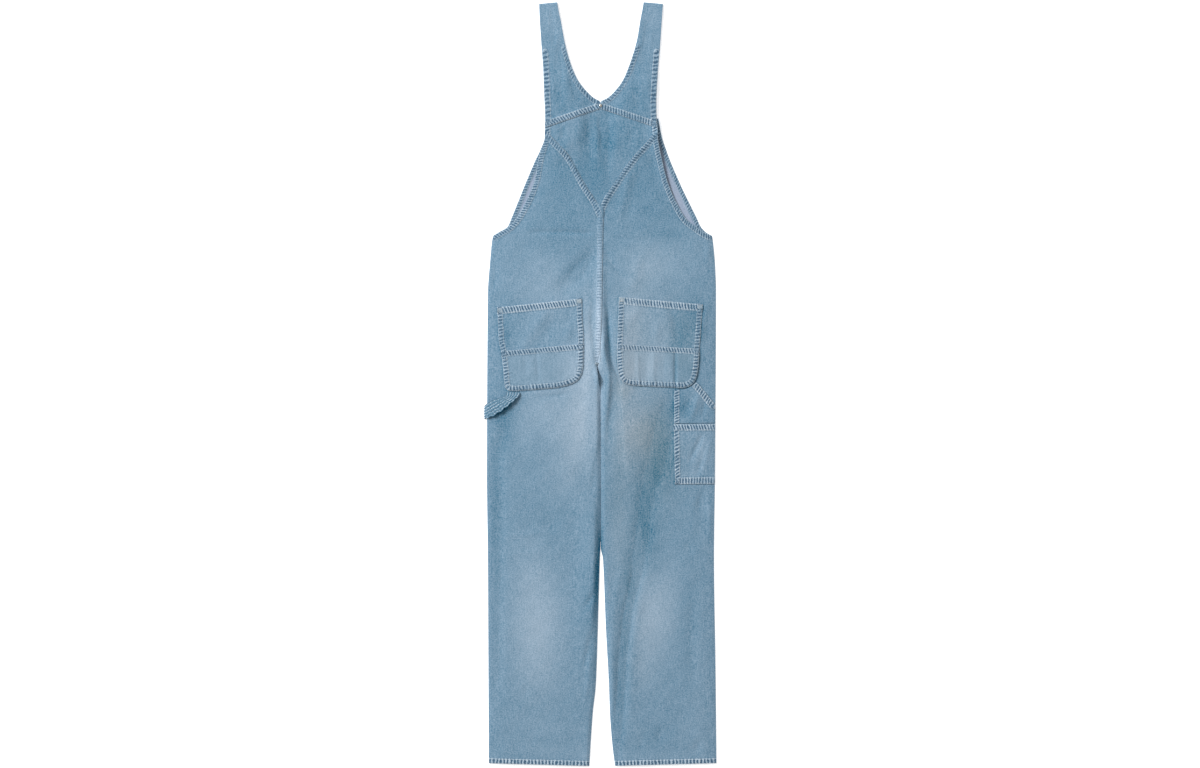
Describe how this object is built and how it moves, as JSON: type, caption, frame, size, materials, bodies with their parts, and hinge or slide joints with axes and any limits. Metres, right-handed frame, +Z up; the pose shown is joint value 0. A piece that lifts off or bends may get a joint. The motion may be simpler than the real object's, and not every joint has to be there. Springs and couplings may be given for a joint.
{
  "type": "bib overalls",
  "caption": "Light-wash denim bib overalls laid flat, face down: wide legs, V-shaped back yoke and insert, straps over the shoulders, patch back pockets, tool pocket and hammer loop.",
  "frame": {"origin": "on the floor under the middle of the garment's box", "axes": "+Y up the body to the shoulders, +X to the wearer's right side, +Z up off the floor, out of the garment's back"},
  "size_m": [0.464, 1.5272, 0.0151],
  "materials": {
    "denim": "stone-washed cotton denim, matt",
    "pale_denim": "worn, paler cotton denim, matt",
    "inside_denim": "inner face of cotton denim, matt",
    "nickel": "satin nickel plate"
  },
  "bodies": {
    "root": {"front_leg_left": "denim", "front_leg_right": "denim", "back_leg_left": "denim", "back_leg_right": "denim", "back_insert": "denim", "strap_left": "denim", "strap_right": "denim", "back_pocket_left": "denim", "back_pocket_right": "denim", "tool_pocket_upper": "denim", "tool_pocket_lower": "denim", "hammer_loop": "denim", "pocket_patch_left": "pale_denim", "pocket_patch_right": "pale_denim", "bib": "inside_denim", "buckle_left": "nickel", "buckle_right": "nickel", "button_left": "nickel", "button_right": "nickel", "neck_rivet": "nickel"}
  },
  "joints": []
}
